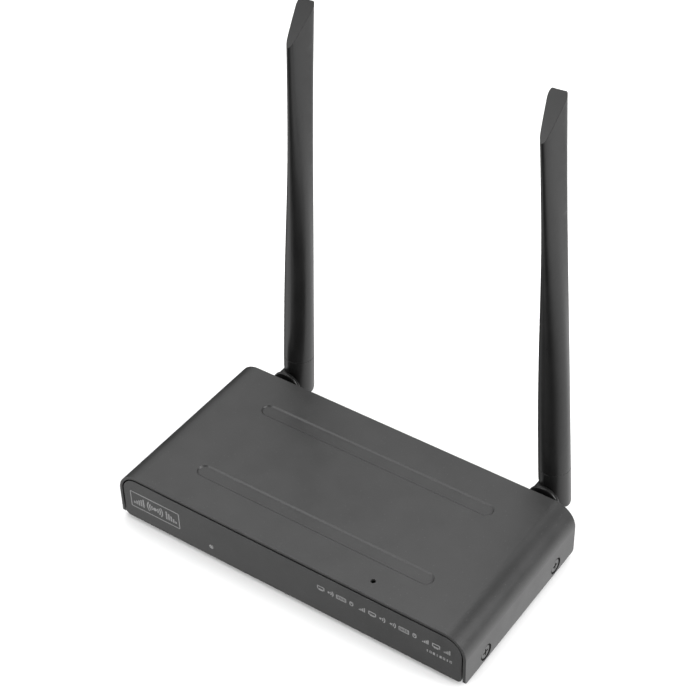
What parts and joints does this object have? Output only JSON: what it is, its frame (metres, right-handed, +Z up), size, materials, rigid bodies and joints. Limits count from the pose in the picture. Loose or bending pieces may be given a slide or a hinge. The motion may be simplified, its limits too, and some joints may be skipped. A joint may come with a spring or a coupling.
{
  "type": "wireless video receiver",
  "caption": "Flat folded-steel wireless receiver box with rear sockets, side screws and two paddle antennas that swivel and fold on the rear.",
  "frame": {"origin": "on the surface the feet stand on, under the middle of the whole object, antennas included", "axes": "+X to the right as seen from the front, +Y to the rear where the antennas are, +Z up"},
  "size_m": [0.16, 0.1066, 0.1882],
  "materials": {
    "case_paint": "fine matt black powder coat",
    "plate_paint": "fine matt black powder coat",
    "antenna_plastic": "satin black moulded plastic",
    "black_screw": "black zinc",
    "foot_rubber": "matt",
    "clear_plastic": "milky clear",
    "lamp_white": "gloss",
    "board_green": "solder mask",
    "black_plastic": "moulded",
    "bright_shell": "bright tin",
    "brass_gold": "gold flash",
    "aluminium": "anodised",
    "soft_pad": "soft",
    "film": "film",
    "lead_jacket": "smooth",
    "dark_ferrite": "ferrite",
    "nut_black": "black chrome"
  },
  "bodies": {
    "case": {"chassis": "plate_paint", "rear_panel": "plate_paint", "top_cover": "case_paint", "cover_screws": "black_screw", "rear_panel_screws": "black_screw", "rubber_feet": "foot_rubber", "light_pipe": "clear_plastic", "status_lamp": "lamp_white", "pairing_switch": "black_plastic", "main_board": "board_green", "board_standoffs": "bright_shell", "board_screws": "bright_shell", "insulation_sheet": "film", "video_socket_shell": "bright_shell", "video_socket_tongue": "black_plastic", "usb_socket_shells": "bright_shell", "usb_socket_tongues": "black_plastic", "power_jack": "black_plastic", "power_jack_pin": "brass_gold", "processor": "black_plastic", "memory_chips": "black_plastic", "thermal_pad": "soft_pad", "heat_sink": "aluminium", "radio_board": "board_green", "radio_shield": "bright_shell", "capacitors": "aluminium", "inductor": "dark_ferrite", "lead_plugs": "brass_gold", "jack_washers": "nut_black", "jack_nuts": "nut_black", "left_jack": "brass_gold", "left_lead": "lead_jacket", "left_coupling_nut": "nut_black", "right_jack": "brass_gold", "right_lead": "lead_jacket", "right_coupling_nut": "nut_black"},
    "left_swivel": {"left_swivel_base": "antenna_plastic", "left_hinge_pin": "nut_black"},
    "left_antenna": {"left_knuckle": "antenna_plastic", "left_blade": "antenna_plastic", "left_radiator": "brass_gold"},
    "right_swivel": {"right_swivel_base": "antenna_plastic", "right_hinge_pin": "nut_black"},
    "right_antenna": {"right_knuckle": "antenna_plastic", "right_blade": "antenna_plastic", "right_radiator": "brass_gold"},
    "pairing_button": {"pairing_plunger": "black_plastic"}
  },
  "joints": [
    {"name": "left_swivel", "type": "hinge", "parent": "case", "child": "left_swivel", "pos_m": [-0.0619, 0.04225, 0.01375], "axis": [0, -1, 0], "range_deg": [-13.55, 91.45]},
    {"name": "left_tilt", "type": "hinge", "parent": "left_swivel", "child": "left_antenna", "pos_m": [-0.0619, 0.04225, 0.01375], "axis": [-0.9997, 0, 0.0253], "range_deg": [-1.5, 88.5]},
    {"name": "right_swivel", "type": "hinge", "parent": "case", "child": "right_swivel", "pos_m": [0.0619, 0.04225, 0.01375], "axis": [0, 1, 0], "range_deg": [-11, 94]},
    {"name": "right_tilt", "type": "hinge", "parent": "right_swivel", "child": "right_antenna", "pos_m": [0.0619, 0.04225, 0.01375], "axis": [-0.9976, 0, -0.0698], "range_deg": [0, 90]},
    {"name": "pairing_button_press", "type": "slide", "parent": "case", "child": "pairing_button", "axis": [0, 0, -1], "range_m": [0, 0.0003], "stiffness_N_per_m": 1500}
  ]
}
